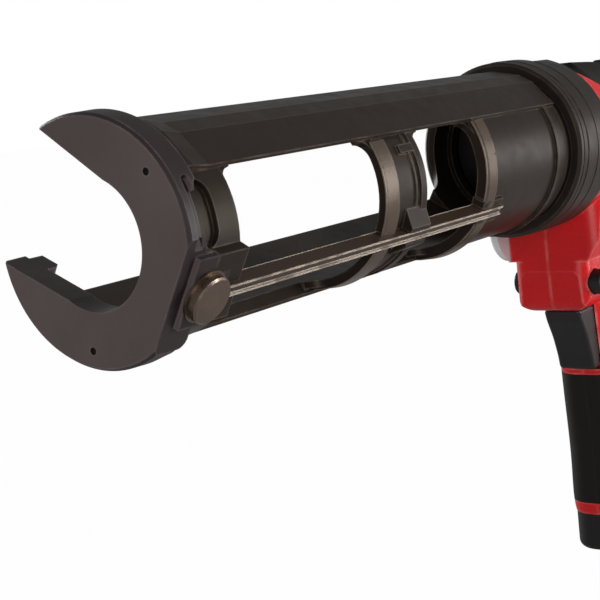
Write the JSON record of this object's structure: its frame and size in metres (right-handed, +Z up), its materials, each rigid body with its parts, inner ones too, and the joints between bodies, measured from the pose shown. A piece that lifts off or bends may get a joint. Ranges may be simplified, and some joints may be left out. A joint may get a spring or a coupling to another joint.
{
  "type": "cordless caulking gun",
  "caption": "Battery caulking gun: open half-round cartridge carriage with a slotted nozzle yoke, racked push rod, geared motor, pistol grip and slide-in battery.",
  "frame": {"origin": "centre of the cartridge seat, the face the cartridge's rear rim stands on, on the push rod's axis", "axes": "+X backwards along the push rod, +Y to the gun's right, +Z up; the grip hangs towards -Z"},
  "size_m": [0.6088, 0.0668, 0.2124],
  "materials": {
    "carriage_black": "die cast, satin black coat",
    "nose_black": "moulded, satin",
    "steel_black": "black oxide",
    "steel_bright": "ground",
    "steel_plated": "zinc plated",
    "steel_screw": "black oxide",
    "plunger_aluminium": "turned",
    "seal_rubber": "smooth",
    "bronze": "sintered",
    "acetal": "moulded",
    "gear_steel": "machined",
    "case_grey": "die cast",
    "magnet": "sintered ferrite",
    "housing_red": "fine texture",
    "cover_rubber": "soft, textured",
    "control_black": "moulded",
    "spring_steel": "drawn wire",
    "board_green": "lacquered",
    "copper_alloy": "plated contacts in a black block",
    "battery_black": "fine texture",
    "cell_wrap": "shrink sleeve"
  },
  "bodies": {
    "housing": {"nose_housing": "nose_black", "rod_guide_front": "bronze", "rod_guide_rear": "acetal", "pinion_bearings": "steel_bright", "cross_bearings": "steel_bright", "output_bearing": "bronze", "ring_gear": "gear_steel", "gearbox_can": "case_grey", "motor_can": "steel_plated", "motor_magnets": "magnet", "gear_case": "case_grey", "housing_left": "housing_red", "housing_right": "housing_red", "top_cover": "cover_rubber", "grip_left": "cover_rubber", "grip_right": "cover_rubber", "housing_screws": "steel_screw", "switch_module": "control_black", "control_board": "board_green", "terminal_block": "copper_alloy", "trigger_spring": "spring_steel", "release_spring": "spring_steel"},
    "carriage": {"carriage_frame": "carriage_black", "front_yoke": "carriage_black", "yoke_pins": "steel_black", "spine_rail": "steel_black", "spine_rivet": "steel_black"},
    "collar": {"coupling_collar": "carriage_black"},
    "rod": {"push_rod": "steel_bright", "plunger_disc": "plunger_aluminium", "plunger_seal": "seal_rubber", "plunger_screw": "steel_plated", "pull_loop": "steel_plated", "loop_pin": "steel_plated"},
    "pinion": {"rack_pinion": "gear_steel", "pinion_gear": "gear_steel"},
    "cross_shaft": {"cross_shaft": "gear_steel", "bevel_gear": "gear_steel"},
    "gearbox_output": {"gearbox_output": "gear_steel"},
    "planet_1": {"planet_gear_1": "gear_steel"},
    "planet_2": {"planet_gear_2": "gear_steel"},
    "planet_3": {"planet_gear_3": "gear_steel"},
    "rotor": {"motor_rotor": "gear_steel"},
    "trigger": {"trigger": "control_black"},
    "lock_button": {"lock_button": "control_black"},
    "release_button": {"release_button": "control_black"},
    "speed_dial": {"speed_dial": "control_black"},
    "battery": {"battery_case": "battery_black", "battery_base": "battery_black", "battery_cells": "cell_wrap", "latch_spring_left": "spring_steel", "latch_spring_right": "spring_steel"},
    "latch_left": {"latch_left": "control_black"},
    "latch_right": {"latch_right": "control_black"}
  },
  "joints": [
    {"name": "carriage_turn", "type": "hinge", "parent": "housing", "child": "carriage", "pos_m": [0, 0, 0], "axis": [1, 0, 0], "continuous": true},
    {"name": "collar_turn", "type": "hinge", "parent": "housing", "child": "collar", "pos_m": [0, 0, 0], "axis": [1, 0, 0], "range_deg": [0, 62]},
    {"name": "rod_slide", "type": "slide", "parent": "housing", "child": "rod", "axis": [-1, 0, 0], "range_m": [0, 0.205]},
    {"name": "pinion_spin", "type": "hinge", "parent": "housing", "child": "pinion", "pos_m": [0.0465, 0, -0.0135], "axis": [0, 1, 0], "continuous": true},
    {"name": "cross_spin", "type": "hinge", "parent": "housing", "child": "cross_shaft", "pos_m": [0.0465, 0, -0.0335], "axis": [0, 1, 0], "continuous": true},
    {"name": "output_spin", "type": "hinge", "parent": "housing", "child": "gearbox_output", "pos_m": [0.0465, 0, -0.0335], "axis": [1, 0, 0], "continuous": true},
    {"name": "rotor_spin", "type": "hinge", "parent": "housing", "child": "rotor", "pos_m": [0.0465, 0, -0.0335], "axis": [1, 0, 0], "continuous": true},
    {"name": "planet_1_spin", "type": "hinge", "parent": "gearbox_output", "child": "planet_1", "pos_m": [0.0748, 0, -0.02675], "axis": [1, 0, 0], "continuous": true},
    {"name": "planet_2_spin", "type": "hinge", "parent": "gearbox_output", "child": "planet_2", "pos_m": [0.0748, -0.00585, -0.03687], "axis": [1, 0, 0], "continuous": true},
    {"name": "planet_3_spin", "type": "hinge", "parent": "gearbox_output", "child": "planet_3", "pos_m": [0.0748, 0.00585, -0.03687], "axis": [1, 0, 0], "continuous": true},
    {"name": "trigger_pull", "type": "slide", "parent": "housing", "child": "trigger", "axis": [1, 0, 0], "range_m": [0, 0.006], "stiffness_N_per_m": 700, "springref_m": -0.003, "deforming": ["trigger_spring"]},
    {"name": "lock_push", "type": "slide", "parent": "housing", "child": "lock_button", "axis": [0, 1, 0], "range_m": [0, 0.003]},
    {"name": "release_press", "type": "slide", "parent": "housing", "child": "release_button", "axis": [0, 0, -1], "range_m": [0, 0.003], "stiffness_N_per_m": 600, "springref_m": -0.003, "deforming": ["release_spring"]},
    {"name": "dial_turn", "type": "hinge", "parent": "housing", "child": "speed_dial", "pos_m": [0.1182, -0.014, -0.0125], "axis": [0, 1, 0], "range_deg": [-150, 150]},
    {"name": "battery_slide", "type": "slide", "parent": "housing", "child": "battery", "axis": [0, 0, -1], "range_m": [0, 0.0731]},
    {"name": "latch_left_press", "type": "slide", "parent": "battery", "child": "latch_left", "axis": [0, 1, 0], "range_m": [0, 0.0012], "stiffness_N_per_m": 800, "springref_m": -0.001, "deforming": ["latch_spring_left"]},
    {"name": "latch_right_press", "type": "slide", "parent": "battery", "child": "latch_right", "axis": [0, -1, 0], "range_m": [0, 0.0012], "stiffness_N_per_m": 800, "springref_m": -0.001, "deforming": ["latch_spring_right"]}
  ],
  "couplings": [
    {"joint": "pinion_spin", "follows": "rod_slide", "rad_per_m": -133.33},
    {"joint": "cross_spin", "follows": "rod_slide", "rad_per_m": 276.92},
    {"joint": "output_spin", "follows": "rod_slide", "rad_per_m": 553.85},
    {"joint": "rotor_spin", "follows": "rod_slide", "rad_per_m": 2492.3},
    {"joint": "planet_1_spin", "follows": "rod_slide", "rad_per_m": -1550.8},
    {"joint": "planet_2_spin", "follows": "rod_slide", "rad_per_m": -1550.8},
    {"joint": "planet_3_spin", "follows": "rod_slide", "rad_per_m": -1550.8}
  ]
}
